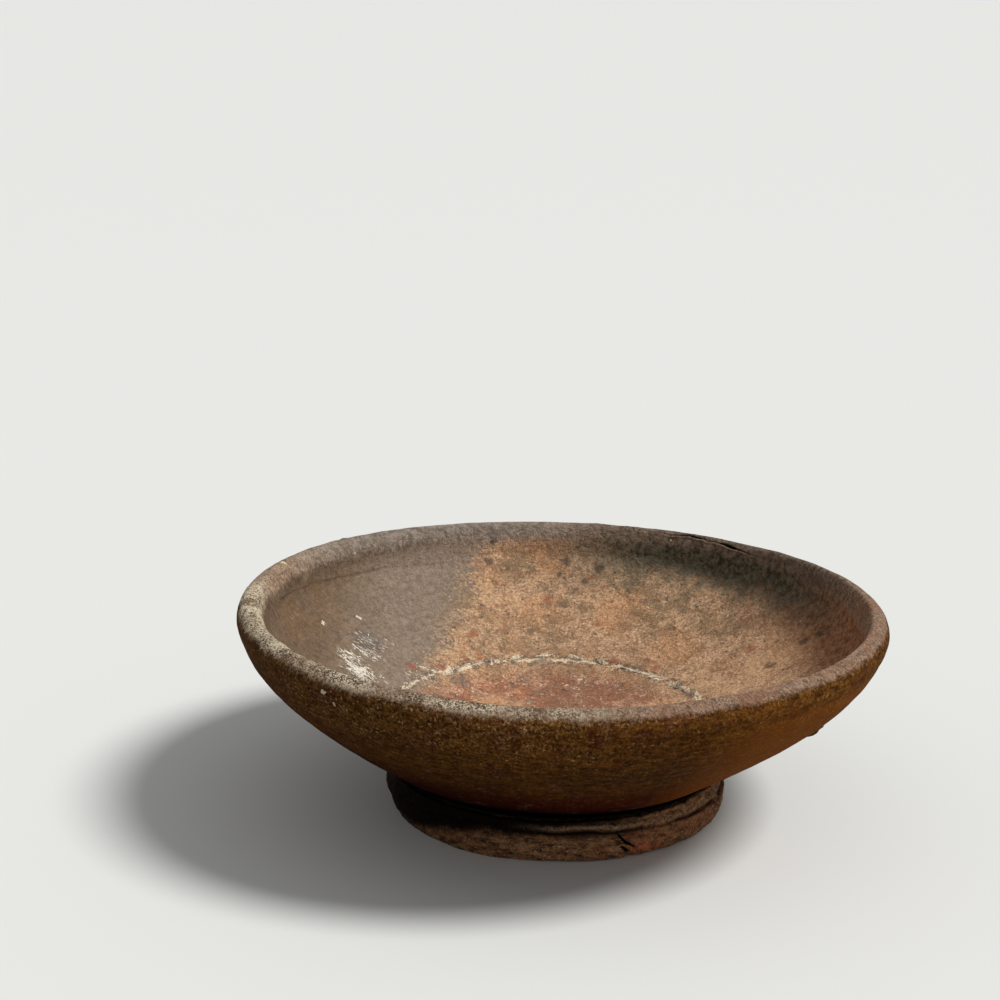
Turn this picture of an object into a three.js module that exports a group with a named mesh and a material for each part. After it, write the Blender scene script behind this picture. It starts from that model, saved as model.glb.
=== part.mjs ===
// A shallow wood-fired stoneware bowl on a foot ring, in millimetres, +Z up.
// The origin is the middle of the circle that the foot ring stands on.
// The bowl was thrown, its rim rolled over, and a separate ring was joined to it with slip as a foot.
// A like bowl stood inside it in the kiln and left a broken ring of fused grit on its floor.
import * as THREE from "three";

// Rolled rim
const RIM_RADIUS = 82.5; // outside of the roll
const RIM_HEIGHT = 53.6; // mean height of its crest above the table
const RIM_WIDTH = 7.8; // mean width of the roll
const ROLL_DEPTH = 4.6; // from the crest down to the widest part of the roll's outer face
const ROLL_UNDER = 46; // degrees that the roll curls back under its outer face
const SHOULDER_DEPTH = 9; // from the crest down to the line inside where the wall begins

// Wall and floor
const WALL = 6; // mean thickness under the rim
const WALL_AT_FOOT = 10.4; // thickness where the wall meets the foot ring
const THICKER = 1.4; // how much thicker than the mean the rim and the wall under it are on one side
const THICK_SIDE = 180; // degrees from +X
const FLOOR = 8.4; // thickness in the middle
const BELLY_OUT = 0.94; // share of the way out to the rim at which the wall has turned from floor to side
const BELLY_UP = 0.67; // share of the way up to the rim at which it has turned
const FLOOR_FLAT = 0.6; // share of the floor's radius that is nearly level
const FLOOR_TURN = 0.22; // share of the floor's radius that leads over into the wall

// Foot ring
const FOOT_HEIGHT = 11.3; // from the table to the top of the ring's outer edge
const FOOT_RADIUS = 43.2; // outside of the ring where it meets the bowl
const FOOT_TAPER = 1.4; // mean of how much less the outside radius is at the table
const FOOT_SKEW = 1; // how much more than the mean it tapers on one side
const SKEW_SIDE = 190; // degrees from +X
const FOOT_WALL = 8.2; // thickness of the ring at its top
const FOOT_FLARE = 1.2; // how much wider the hollow inside the ring is at the table
const FOOT_EDGE = 1.6; // rounding of the two edges that touch the table
const BAND_HEIGHT = 7.6; // mean height of the top edge of the fuller band round the ring
const BAND_WANDER = 0.9; // how far that edge wanders up and down
const BAND_HIGH_SIDE = -90; // degrees from +X to one of its two high places
const BAND_PROUD = 1.5; // how far the band stands out where it is fullest
const BAND_FULL_SIDE = -30; // degrees from +X
const NECK_DEPTH = 0.8; // how far the ring is pinched in above the band
const RECESS = 9; // height of the bowl's underside in the middle of the ring

// Slip that joins the ring to the bowl
const SLIP = 0.7; // thickness
const SLIP_GAP = 0.3; // clearance on each face of the slip
const SLIP_INSET = 0.2; // how far its outer edge lies inside the ring's
const SLIP_BEAD = 1.6; // size of the bead squeezed out inside the ring

// Warp from drying and firing, nothing at the foot and full at the rim
const SAG = 0.76; // rise and fall of the rim in two waves
const SAG_SIDE = -11; // degrees from +X to one of the two high places
const TILT = 0.5; // lean of the rim
const TILT_SIDE = 230; // degrees from +X to the high side
const DRIFT_X = 0.9; // middle of the rim, off the middle of the foot
const DRIFT_Y = 0.5;

// Scar of the bowl that was stacked inside: a broken ring of fused grit
const SCAR_RADIUS = 41.5;
const SCAR_UNEVEN = 1.4; // how far the ring strays in and out, four times round
const SCAR_X = -0.7; // middle of the scar, off the middle of the foot
const SCAR_Y = 0.1;
const CRUST_WIDTH = 3; // of the broadest crust
const CRUST_RISE = 1.2; // of the tallest crust
const CRUST_GAP = 0.3; // clearance between a crust and the floor
// Each crust: its middle in degrees from +X, its length in millimetres, and its shares of the width and the rise.
const CRUSTS = [
  { at: 160, length: 4, broad: 0.7, tall: 0.6 },
  { at: 143, length: 4, broad: 0.8, tall: 0.7 },
  { at: 131, length: 11, broad: 1, tall: 1 },
  { at: 116, length: 6.5, broad: 0.8, tall: 0.9 },
  { at: 105, length: 8, broad: 0.6, tall: 0.7 },
  { at: 92.5, length: 7, broad: 0.6, tall: 0.6 },
  { at: 82, length: 5.5, broad: 0.9, tall: 0.7 },
  { at: 72, length: 4.5, broad: 1, tall: 1 },
  { at: 60, length: 6.5, broad: 0.7, tall: 0.8 },
  { at: 48.5, length: 7, broad: 0.8, tall: 0.7 },
  { at: 36, length: 8.5, broad: 1, tall: 0.9 },
  { at: 24, length: 5, broad: 0.9, tall: 0.8 },
  { at: -4, length: 6, broad: 0.7, tall: 0.6 },
  { at: -41, length: 9, broad: 0.8, tall: 0.8 },
  { at: -83, length: 6.5, broad: 0.7, tall: 0.6 },
  { at: -121, length: 9.5, broad: 0.9, tall: 0.8 },
  { at: -165, length: 7, broad: 0.8, tall: 0.7 },
];

// Lump of kiln grit fused to the outside of the wall
const LUMP_SIDE = -31; // degrees from +X
const LUMP_HEIGHT = 33; // its middle above the table
const LUMP_LENGTH = 5.4; // round the bowl
const LUMP_WIDTH = 3.6; // up the wall
const LUMP_PROUD = 1; // beyond the wall
const LUMP_GAP = 0.3; // clearance between the lump and the wall

// Steps of the curves
const STEPS_ROUND = 72;
const ROLL_STEPS = 6; // each of the outer and the inner half of the roll
const WALL_STEPS = 13;
const FLOOR_STEPS = 8;
const BASE_STEPS = 7;
const EDGE_STEPS = 3;
const RING_TOP_STEPS = 4;
const CRUST_STEPS = 9;
const LUMP_STEPS = 8;

const radians = THREE.MathUtils.degToRad;
const lerp = THREE.MathUtils.lerp;
const point = (x, y) => new THREE.Vector2(x, y);
const curve = (...points) => new THREE.QuadraticBezierCurve(...points);
const steps = (count) => Array.from({ length: count + 1 }, (_, i) => i / count);

const clay = (color, roughness) => new THREE.MeshStandardMaterial({ color, roughness, metalness: 0 });
const bodyClay = clay(0x5f4433, 0.72);
const footClay = clay(0x3a2c25, 0.88);
const slipClay = clay(0x2e2320, 0.95);
const whiteGrit = clay(0xb9ab97, 0.8);
const brownGrit = clay(0x4a3322, 0.85);

// Height at which the bowl begins above the outer edge of the ring.
const JOINT_HEIGHT = FOOT_HEIGHT + SLIP + 2 * SLIP_GAP;

// In the bowl's sections, x is the distance from the axis and y the height.

// How much thicker than the mean the rim and upper wall are at an angle.
function extraThickness(angle) {
  return THICKER * Math.cos(angle - radians(THICK_SIDE));
}

// The roll of the rim: a short outer half and a long inner half that share their crest.
function rollPoints(angle) {
  const outer = RIM_WIDTH / 2;
  const inner = outer + extraThickness(angle);
  const x = RIM_RADIUS - outer;
  const quarter = Math.PI / 2;
  const outside = new THREE.EllipseCurve(x, RIM_HEIGHT - ROLL_DEPTH, outer, ROLL_DEPTH, -radians(ROLL_UNDER), quarter);
  const inside = new THREE.EllipseCurve(x, RIM_HEIGHT - SHOULDER_DEPTH, inner, SHOULDER_DEPTH, quarter, 2 * quarter);
  return [...outside.getPoints(ROLL_STEPS), ...inside.getPoints(ROLL_STEPS).slice(1, -1)];
}

// Outside of the wall, from the joint with the ring up to the roll.
function outerWall() {
  const [foot, roll] = [point(FOOT_RADIUS, JOINT_HEIGHT), rollPoints(0)[0]];
  return curve(foot, point(lerp(foot.x, roll.x, BELLY_OUT), lerp(foot.y, roll.y, BELLY_UP)), roll);
}

// Inside of the wall, from the shoulder down to the floor, one thickness in from the outside.
function innerWallPoints(angle) {
  const outside = outerWall();
  const inward = (share) => {
    const thickness = lerp(WALL + extraThickness(angle), WALL_AT_FOOT, (1 - share) ** 3);
    const along = outside.getTangent(share);
    return outside.getPoint(share).add(point(-along.y, along.x).multiplyScalar(thickness));
  };
  let [below, above] = [0, 1];
  for (let i = 0; i < 30; i++) {
    const middle = (below + above) / 2;
    if (inward(middle).y < RIM_HEIGHT - SHOULDER_DEPTH) below = middle;
    else above = middle;
  }
  return steps(WALL_STEPS).map((share) => inward(lerp(below, 0, share)));
}

// The floor, from the foot of the inner wall to the axis.
function floorPoints(wallFoot, along) {
  const height = RECESS + FLOOR;
  const turn = along.clone().multiplyScalar(FLOOR_TURN * wallFoot.x);
  return new THREE.CubicBezierCurve(
    wallFoot,
    wallFoot.clone().add(turn),
    point(FLOOR_FLAT * wallFoot.x, height),
    point(0, height),
  ).getPoints(FLOOR_STEPS);
}

// Everything inside, from the shoulder to the axis.
function insidePoints(angle) {
  const wall = innerWallPoints(angle);
  const [before, foot] = wall.slice(-2);
  const along = foot.clone().sub(before).normalize();
  return [...wall, ...floorPoints(foot, along).slice(1)];
}

// The bowl's underside, from the axis out to the joint with the ring.
function undersidePoints() {
  return new THREE.CubicBezierCurve(
    point(0, RECESS),
    point(FOOT_RADIUS * 0.45, RECESS),
    point(FOOT_RADIUS * 0.85, lerp(RECESS, JOINT_HEIGHT, 0.25)),
    point(FOOT_RADIUS, JOINT_HEIGHT),
  ).getPoints(BASE_STEPS);
}

const UNDERSIDE = undersidePoints();
const OUTSIDE = outerWall().getPoints(WALL_STEPS);

// The height of a section's line at a distance from the axis.
function heightAt(points, x) {
  const i = points.findIndex((p, k) => k > 0 && (p.x - x) * (points[k - 1].x - x) <= 0 && p.x !== points[k - 1].x);
  const [a, b] = [points[i - 1], points[i]];
  return THREE.MathUtils.mapLinear(x, a.x, b.x, a.y, b.y);
}

// The distance from the axis of a section's line at a height.
function heightwise(points, y) {
  return heightAt(
    points.map((p) => point(p.y, p.x)),
    y,
  );
}

// Half of the bowl's section, from the axis underneath round to the axis inside.
function bowlSection(angle) {
  return [...UNDERSIDE, ...OUTSIDE.slice(1, -1), ...rollPoints(angle), ...insidePoints(angle)];
}

// How the clay moved when it dried and was fired, from nothing at the foot ring to full at the rim.
function warp(position) {
  const radius = Math.hypot(position.x, position.y);
  const share = THREE.MathUtils.clamp((radius - FOOT_RADIUS) / (RIM_RADIUS - FOOT_RADIUS), 0, 1) ** 1.5;
  const angle = Math.atan2(position.y, position.x);
  const rise = SAG * Math.cos(2 * (angle - radians(SAG_SIDE))) + TILT * Math.cos(angle - radians(TILT_SIDE));
  return position.add(new THREE.Vector3(DRIFT_X, DRIFT_Y, rise).multiplyScalar(share));
}

// The outside of the foot ring: pulled in at the table, full in the band, pinched in above it.
function footSection(angle) {
  const fullness = 0.5 + 0.5 * Math.cos(angle - radians(BAND_FULL_SIDE));
  const proud = BAND_PROUD * fullness;
  const bandTop = BAND_HEIGHT + BAND_WANDER * Math.cos(2 * (angle - radians(BAND_HIGH_SIDE)));
  const taper = FOOT_TAPER + FOOT_SKEW * Math.cos(angle - radians(SKEW_SIDE));
  const standing = FOOT_RADIUS - taper;
  const hollow = FOOT_RADIUS - FOOT_WALL;
  const outerEdge = curve(
    point(standing - FOOT_EDGE, 0),
    point(standing, 0),
    point(standing + 0.6 * proud, FOOT_EDGE),
  ).getPoints(EDGE_STEPS);
  const innerEdge = curve(
    point(hollow + FOOT_FLARE, FOOT_EDGE),
    point(hollow + FOOT_FLARE, 0),
    point(hollow + FOOT_FLARE + FOOT_EDGE, 0),
  ).getPoints(EDGE_STEPS);
  const band = curve(
    point(standing + 0.9 * proud, 0.4 * bandTop),
    point(standing + 0.5 * taper + proud, 0.8 * bandTop),
    point(FOOT_RADIUS - 0.5 * NECK_DEPTH + 0.8 * proud, bandTop - 0.3),
  ).getPoints(EDGE_STEPS);
  const neck = point(FOOT_RADIUS - NECK_DEPTH, bandTop + 0.5);
  return [...outerEdge, ...band, neck, ...ringTop(), ...innerEdge];
}

// The top of the ring lies one joint below the bowl's underside.
function ringTop() {
  return jointRadii(FOOT_RADIUS).map((radius) => point(radius, heightAt(UNDERSIDE, radius) - SLIP - 2 * SLIP_GAP));
}

function jointRadii(outermost) {
  return steps(RING_TOP_STEPS).map((share) => lerp(outermost, FOOT_RADIUS - FOOT_WALL, share));
}

// The slip between the ring and the bowl, with the bead that was squeezed out into the hollow of the ring.
function slipSection() {
  const top = (radius) => point(radius, heightAt(UNDERSIDE, radius) - SLIP_GAP);
  const radii = jointRadii(FOOT_RADIUS - SLIP_INSET);
  const corner = FOOT_RADIUS - FOOT_WALL - SLIP_GAP;
  const bead = [
    top(corner).sub(point(0, SLIP)),
    top(corner).sub(point(0.1 * SLIP_BEAD, SLIP + 0.8 * SLIP_BEAD)),
    top(corner).sub(point(0.6 * SLIP_BEAD, SLIP + 0.4 * SLIP_BEAD)),
    top(corner - SLIP_BEAD),
  ];
  const lower = radii.map((radius) => top(radius).sub(point(0, SLIP)));
  return [...radii.map(top), ...bead.reverse(), ...lower.reverse()];
}

// A closed body from a section that may change on its way round. A section that starts and ends on the axis shares
// those two points; any other section closes on itself.
function spin(sectionAt, move = (position) => position) {
  const vertices = [];
  const rows = [];
  for (let i = 0; i < STEPS_ROUND; i++) {
    const angle = (2 * Math.PI * i) / STEPS_ROUND;
    const row = sectionAt(angle).map((p, k) => {
      if (p.x < 1e-9 && i > 0) return rows[0][k];
      return vertices.push(move(new THREE.Vector3(p.x * Math.cos(angle), p.x * Math.sin(angle), p.y))) - 1;
    });
    rows.push(row);
  }
  return closedSkin(vertices, rows, rows[0].length, true);
}

// Triangles between neighbouring rows of points; each row is a loop, and the rows may close into a ring.
function closedSkin(vertices, rows, perRow, ring) {
  const index = [];
  const triangle = (a, b, c) => {
    if (a !== b && b !== c && c !== a) index.push(a, b, c);
  };
  for (let i = 0; i < rows.length - (ring ? 0 : 1); i++) {
    const next = rows[(i + 1) % rows.length];
    for (let k = 0; k < perRow; k++) {
      const l = (k + 1) % perRow;
      triangle(rows[i][k], next[k], next[l]);
      triangle(rows[i][k], next[l], rows[i][l]);
    }
  }
  if (!ring) {
    const [first, last] = [rows[0], rows.at(-1)];
    for (let k = 1; k < perRow - 1; k++) {
      triangle(first[0], first[k], first[k + 1]);
      triangle(last[0], last[k + 1], last[k]);
    }
  }
  const geometry = new THREE.BufferGeometry().setFromPoints(vertices);
  geometry.setIndex(index);
  geometry.computeVertexNormals();
  return geometry;
}

// A ragged ridge with a flat underside. The place function lays it down: along, across and up in millimetres.
function ridge(length, width, rise, count, seed, place) {
  const outline = [point(-0.5, 0), point(-0.46, 0.4), point(-0.22, 0.85), point(0.12, 1), point(0.42, 0.6), point(0.5, 0)];
  const vertices = [];
  const rows = steps(count).map((share) => {
    const swell = Math.sin(Math.PI * lerp(0.07, 0.93, share)) ** 0.6;
    const broad = width * swell * (1 + 0.18 * Math.sin(11 * share + 2 * seed));
    const tall = rise * swell * (1 + 0.25 * Math.sin(17 * share + 3 * seed));
    const sway = 0.18 * width * Math.sin(6 * share + seed);
    const along = (share - 0.5) * length;
    return outline.map((p) => vertices.push(place(along, sway + p.x * broad, p.y * tall)) - 1);
  });
  return closedSkin(vertices, rows, outline.length, false);
}

// The height of the floor or the wall inside, under a point seen from above.
function insideHeight(x, y) {
  const inside = insidePoints(Math.atan2(y, x));
  return warp(new THREE.Vector3(x, y, heightAt(inside, Math.hypot(x, y)))).z;
}

// A crust of grit lies along the scar ring and follows the floor.
function crust({ at, length, broad, tall }, i) {
  const lay = (along, across, up) => {
    const angle = radians(at) - along / SCAR_RADIUS;
    const radius = SCAR_RADIUS + SCAR_UNEVEN * Math.cos(4 * angle) + across;
    const [x, y] = [SCAR_X + radius * Math.cos(angle), SCAR_Y + radius * Math.sin(angle)];
    return new THREE.Vector3(x, y, insideHeight(x, y) + CRUST_GAP + up);
  };
  return ridge(length, CRUST_WIDTH * broad, CRUST_RISE * tall, CRUST_STEPS, i, lay);
}

// The lump lies against the outside of the wall, round the bowl.
function lump() {
  const wallRadius = (height) => heightwise(OUTSIDE, height);
  const slope = Math.atan2(LUMP_WIDTH, wallRadius(LUMP_HEIGHT + LUMP_WIDTH / 2) - wallRadius(LUMP_HEIGHT - LUMP_WIDTH / 2));
  const lay = (along, across, up) => {
    const height = LUMP_HEIGHT + across * Math.sin(slope);
    const angle = radians(LUMP_SIDE) + along / wallRadius(LUMP_HEIGHT);
    const radius = wallRadius(height) + (up + LUMP_GAP) * Math.sin(slope);
    const z = height - (up + LUMP_GAP) * Math.cos(slope);
    return warp(new THREE.Vector3(radius * Math.cos(angle), radius * Math.sin(angle), z));
  };
  return ridge(LUMP_LENGTH, LUMP_WIDTH, LUMP_PROUD, LUMP_STEPS, 2, lay);
}

const bowl = new THREE.Group();

function add(name, geometry, material) {
  const mesh = new THREE.Mesh(geometry, material);
  mesh.name = name;
  bowl.add(mesh);
}

add("bowl_body", spin(bowlSection, warp), bodyClay);
add("foot_ring", spin(footSection), footClay);
add("luting_slip", spin(slipSection), slipClay);
CRUSTS.forEach((spec, i) => add(`scar_crust_${String(i + 1).padStart(2, "0")}`, crust(spec, i), whiteGrit));
add("fused_grit_lump", lump(), brownGrit);

export default bowl;
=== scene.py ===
import math
import random

import bmesh
import bpy
from mathutils import Matrix, Vector, noise
from mathutils.bvhtree import BVHTree


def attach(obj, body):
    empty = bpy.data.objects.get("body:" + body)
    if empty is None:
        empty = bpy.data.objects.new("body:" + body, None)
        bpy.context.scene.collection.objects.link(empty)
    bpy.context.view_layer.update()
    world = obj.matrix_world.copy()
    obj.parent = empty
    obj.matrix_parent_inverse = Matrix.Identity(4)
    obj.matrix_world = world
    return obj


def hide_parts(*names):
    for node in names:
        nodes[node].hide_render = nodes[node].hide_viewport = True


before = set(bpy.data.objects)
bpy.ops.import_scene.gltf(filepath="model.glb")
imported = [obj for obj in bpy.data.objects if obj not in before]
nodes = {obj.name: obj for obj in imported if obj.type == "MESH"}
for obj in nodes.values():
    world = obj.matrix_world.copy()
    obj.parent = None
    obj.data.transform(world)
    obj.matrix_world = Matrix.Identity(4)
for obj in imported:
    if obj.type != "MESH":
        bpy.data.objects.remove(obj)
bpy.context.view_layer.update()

# Up to the studio all lengths are millimetres. All angles are degrees from +X, seen from above.
MM = 0.001
DOWN = Vector((0, 0, -1))
CREST = 53.6  # mean height of the rim
SCAR_MIDDLE = Vector((-0.7, 0.1, 21.5))
SCAR_RADIUS = 41.5
FOOT_SIDE = (38, 40.5)  # the foot's outer side begins between these distances from the axis
BAND_HEIGHT = 7.5  # mean height of the band round the foot
BAND_WANDER = 0.9  # how far that height goes up and down on the way round
FOOT_DEGREE = 0.76  # the length of one degree on the foot's outer side


# Shaping the clay

def smooth(low, high, value):
    """0 below low, 1 above high, and a soft step between them. It also runs down if low is the greater."""
    share = min(1.0, max(0.0, (value - low) / (high - low)))
    return share * share * (3 - 2 * share)


def hump(value, middle, reach):
    """1 at the middle, 0 beyond the reach on either side."""
    return smooth(reach, 0, abs(value - middle))


def apart(angle, other):
    """The degrees between two angles, the shorter way round."""
    return abs((angle - other + 180) % 360 - 180)


def arc(angle, middle, half, soft):
    """1 within half of the middle, going round, and 0 from there on after a soft edge."""
    return smooth(half + soft, half, apart(angle, middle))


def around(angle, radius, height):
    """The place at an angle, a distance from the axis and a height."""
    return (radius * math.cos(math.radians(angle)), radius * math.sin(math.radians(angle)), height)


def angle_of(place):
    return math.degrees(math.atan2(place.y, place.x))


def across(place):
    """The distance from the axis."""
    return math.hypot(place.x, place.y)


def gap_to(place, angle, radius, height):
    return (place - Vector(around(angle, radius, height))).length


def uneven(place, size, seed=0):
    """Smooth chance values from about -1 to 1, with lumps of that size."""
    return noise.noise(Vector(place) / size + Vector((seed * 3.7, seed * 1.9, seed * 5.3)))


def grainy(place, size, seed=0, octaves=4):
    """Chance values like uneven's, with finer and finer lumps on the first."""
    return noise.fractal(Vector(place) / size + Vector((seed * 2.3, seed * 4.1, seed * 1.7)), 0.9, 2.0, octaves)


def in_scene(name, data):
    made = bpy.data.objects.new(name, data)
    bpy.context.scene.collection.objects.link(made)
    return made


def mesh_of(form, name):
    mesh = bpy.data.meshes.new(name)
    form.to_mesh(mesh)
    form.free()
    return mesh


def clay_from(node, levels):
    """The CAD node's form with its triangles joined and smoothed, as a bmesh in millimetres."""
    form = bmesh.new()
    form.from_mesh(nodes[node].data)
    bmesh.ops.remove_doubles(form, verts=form.verts, dist=1e-6)
    bend = math.radians(60)
    bmesh.ops.join_triangles(form, faces=form.faces, angle_face_threshold=bend, angle_shape_threshold=bend)
    rough = mesh_of(form, "rough_" + node)
    holder = in_scene("rough_" + node, rough)
    finer = holder.modifiers.new("finer", "SUBSURF")
    finer.levels = finer.render_levels = levels
    fine = bpy.data.meshes.new_from_object(holder.evaluated_get(bpy.context.evaluated_depsgraph_get()))
    form = bmesh.new()
    form.from_mesh(fine)
    bmesh.ops.scale(form, vec=(1 / MM,) * 3, verts=form.verts)
    bpy.data.objects.remove(holder)
    bpy.data.meshes.remove(rough)
    bpy.data.meshes.remove(fine)
    form.normal_update()
    return form


def refine(form, wanted, cuts):
    """Cuts the edges between wanted points again, for marks too small for the rest of the form."""
    chosen = {v for v in form.verts if wanted(v.co)}
    edges = [e for e in form.edges if e.verts[0] in chosen and e.verts[1] in chosen]
    bmesh.ops.subdivide_edges(form, edges=edges, cuts=cuts, use_grid_fill=True)
    form.normal_update()


def press(form, depth, marks=()):
    """Moves every point along its normal by depth(place, normal), and keeps the named marks as attributes."""
    layers = {name: form.verts.layers.float.new(name) for name in marks}
    moves = []
    for v in form.verts:
        out, found = depth(v.co.copy(), v.normal.copy())
        moves.append(v.normal * out)
        for name in marks:
            v[layers[name]] = found.get(name, 0.0)
    for v, move in zip(form.verts, moves):
        v.co += move


def fired(form, name, finish, slot, *stands_for):
    """Makes the form a finished piece of the bowl, in metres."""
    bmesh.ops.scale(form, vec=(MM,) * 3, verts=form.verts)
    mesh = mesh_of(form, name)
    mesh.polygons.foreach_set("use_smooth", [True] * len(mesh.polygons))
    mesh.materials.append(finish)
    piece = in_scene(name, mesh)
    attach(piece, "root")
    if stands_for:
        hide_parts(*stands_for)


# Finishes

# The colour sockets of a Mix node go by number, because its other sockets have the same names.
MIX_SHARE, MIX_UNDER, MIX_OVER, MIX_RESULT = 0, 6, 7, 2


def tint(code):
    """A colour written as six hex digits, as a screen shows it."""
    parts = [int(code[i:i + 2], 16) / 255 for i in (0, 2, 4)]
    return (*[c / 12.92 if c <= 0.04045 else ((c + 0.055) / 1.055) ** 2.4 for c in parts], 1)


class Value:
    """A number that changes over a surface."""

    def __init__(self, finish, socket):
        self.finish, self.socket = finish, socket

    def work(self, operation, *others):
        return self.finish.work(operation, self, *others)

    def __add__(self, other):
        return self.work("ADD", other)

    def __sub__(self, other):
        return self.work("SUBTRACT", other)

    def __mul__(self, other):
        return self.work("MULTIPLY", other)

    def __rsub__(self, other):
        return self.finish.work("SUBTRACT", other, self)

    __radd__ = __add__
    __rmul__ = __mul__

    def rise(self, low, high):
        """0 up to low, 1 from high on, soft between."""
        step = self.finish.node("ShaderNodeMapRange", interpolation_type="SMOOTHSTEP")
        self.finish.feed(step, "Value", self)
        self.finish.feed(step, "From Min", low)
        self.finish.feed(step, "From Max", high)
        return Value(self.finish, step.outputs[0])

    def fall(self, low, high):
        return 1 - self.rise(low, high)

    def sway(self, reach):
        """A chance value made a shift of up to half the reach to either side."""
        return (self - 0.5) * reach

    def most(self, other):
        return self.work("MAXIMUM", other)

    def unsigned(self):
        return self.work("ABSOLUTE")


class Finish:
    """A clay surface, worked out from the place on the bowl in millimetres."""

    def __init__(self, name):
        self.material = bpy.data.materials.new(name)
        self.material.use_nodes = True
        self.tree = self.material.node_tree
        self.shader = self.tree.nodes["Principled BSDF"]
        self.place = self.vector("SCALE", self.node("ShaderNodeTexCoord").outputs["Object"], scale=1 / MM)
        split = self.node("ShaderNodeSeparateXYZ")
        self.tree.links.new(self.place, split.inputs[0])
        self.x, self.y, self.z = (Value(self, s) for s in split.outputs)
        self.radius = ((self.x * self.x) + (self.y * self.y)).work("SQRT")
        # the place, shifted a little by chance, so that what is measured from it gets a ragged edge
        shift_size, shift_reach = 1.4, 3.4
        shift = self.lumps(self.vector("SCALE", self.place, scale=1 / shift_size), 3.0).outputs["Color"]
        centred = self.vector("SUBTRACT", shift, (0.5, 0.5, 0.5))
        self.ragged = self.vector("ADD", self.place, self.vector("SCALE", centred, scale=shift_reach))

    def node(self, kind, **settings):
        made = self.tree.nodes.new(kind)
        for key, value in settings.items():
            setattr(made, key, value)
        return made

    def feed(self, node, key, value):
        """Gives a socket a value of the surface, another socket's output, a colour's six hex digits or a number."""
        if isinstance(value, Value):
            value = value.socket
        if isinstance(value, bpy.types.NodeSocket):
            self.tree.links.new(value, node.inputs[key])
        else:
            node.inputs[key].default_value = tint(value) if isinstance(value, str) else value

    def work(self, operation, *values):
        made = self.node("ShaderNodeMath", operation=operation)
        for i, value in enumerate(values):
            self.feed(made, i, value)
        return Value(self, made.outputs[0])

    def vector(self, operation, *values, scale=None):
        made = self.node("ShaderNodeVectorMath", operation=operation)
        for i, value in enumerate(values):
            self.feed(made, i, value)
        if scale is not None:
            self.feed(made, "Scale", scale)
        return made.outputs["Value" if operation in ("DISTANCE", "DOT_PRODUCT") else "Vector"]

    def lumps(self, place, detail, harsh=0.5, **settings):
        made = self.node("ShaderNodeTexNoise", **settings)
        self.feed(made, "Vector", place)
        self.feed(made, "Scale", 1.0)
        self.feed(made, "Detail", detail)
        self.feed(made, "Roughness", harsh)
        return made

    def spots(self, size, detail=3, stretch=(1, 1, 1), seed=0, harsh=0.6):
        """Chance values round 0.5 in lumps of that size in millimetres, drawn out where stretch is above 1."""
        scaled = self.vector(
            "MULTIPLY_ADD", self.place, [1 / (size * s) for s in stretch], (seed * 7.3, seed * 3.1, seed * 5.7)
        )
        return Value(self, self.lumps(scaled, detail, harsh).outputs[0])

    def drawn(self, width, length, seed=0):
        """Chance values round 0.5 in lines of that width and length, drawn round by the wheel."""
        turn = 80 / length  # 80 is the bowl's radius, where the lines have that length
        line = self.node("ShaderNodeCombineXYZ")
        self.feed(line, 0, self.radius * (1 / width))
        self.feed(line, 1, self.z * (1 / width) + seed * 7.7)
        self.feed(line, 2, self.x.work("DIVIDE", self.radius) * turn)
        made = self.lumps(line.outputs[0], 4.0, 0.65, noise_dimensions="4D")
        self.feed(made, "W", self.y.work("DIVIDE", self.radius) * turn)
        return Value(self, made.outputs[0])

    def grains(self, spacing, seed=0):
        """Scattered grains: how far off the nearest is, in shares of the spacing, and a chance value of its own."""
        made = self.node("ShaderNodeTexVoronoi")
        self.feed(made, "Vector", self.vector("MULTIPLY_ADD", self.ragged, [1 / spacing] * 3, (seed * 3.3,) * 3))
        self.feed(made, "Scale", 1.0)
        return Value(self, made.outputs["Distance"]), Value(self, made.outputs["Color"])

    def mark(self, name):
        """A mark that was kept on the points when the form was pressed."""
        made = self.node("ShaderNodeAttribute", attribute_name=name)
        return Value(self, made.outputs["Fac"])

    def side(self, angle, half, soft):
        """1 within half of the angle, going round, and 0 from there on after a soft edge."""
        toward = Value(self, self.vector("DOT_PRODUCT", self.place, around(angle, 1, 0))).work("DIVIDE", self.radius)
        edge = [math.cos(math.radians(min(180, half + part * soft))) for part in (0.5, -0.5)]
        return toward.rise(*edge)

    def away_from(self, middle):
        return Value(self, self.vector("DISTANCE", self.ragged, middle))

    def near(self, angle, radius, height, reach):
        """1 round a place on the bowl, out to nearly half the reach, and 0 beyond it, with a ragged edge."""
        return self.away_from(around(angle, radius, height)).fall(reach * 0.45, reach)

    def places(self, marks, share=1.0):
        """1 at any of the marks, each an angle, a distance from the axis, a height and a reach."""
        found = None
        for angle, radius, height, reach in marks:
            one = self.near(angle, radius, height, reach * share)
            found = one if found is None else found.most(one)
        return found

    def paint(self, share, under, over):
        """The colour under where the share is 0, and the colour over where it is 1."""
        made = self.node("ShaderNodeMix", data_type="RGBA")
        self.feed(made, MIX_SHARE, share)
        self.feed(made, MIX_UNDER, under)
        self.feed(made, MIX_OVER, over)
        return made.outputs[MIX_RESULT]

    def coats(self, colour, *over):
        """The colour with coats over it, in their order, each a share and its colour."""
        for share, coat in over:
            colour = self.paint(share, colour, coat)
        return colour

    def lighten(self, colour, by):
        """The colour times by, which darkens it where by is below 1."""
        return self.vector("SCALE", colour, scale=by)

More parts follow.
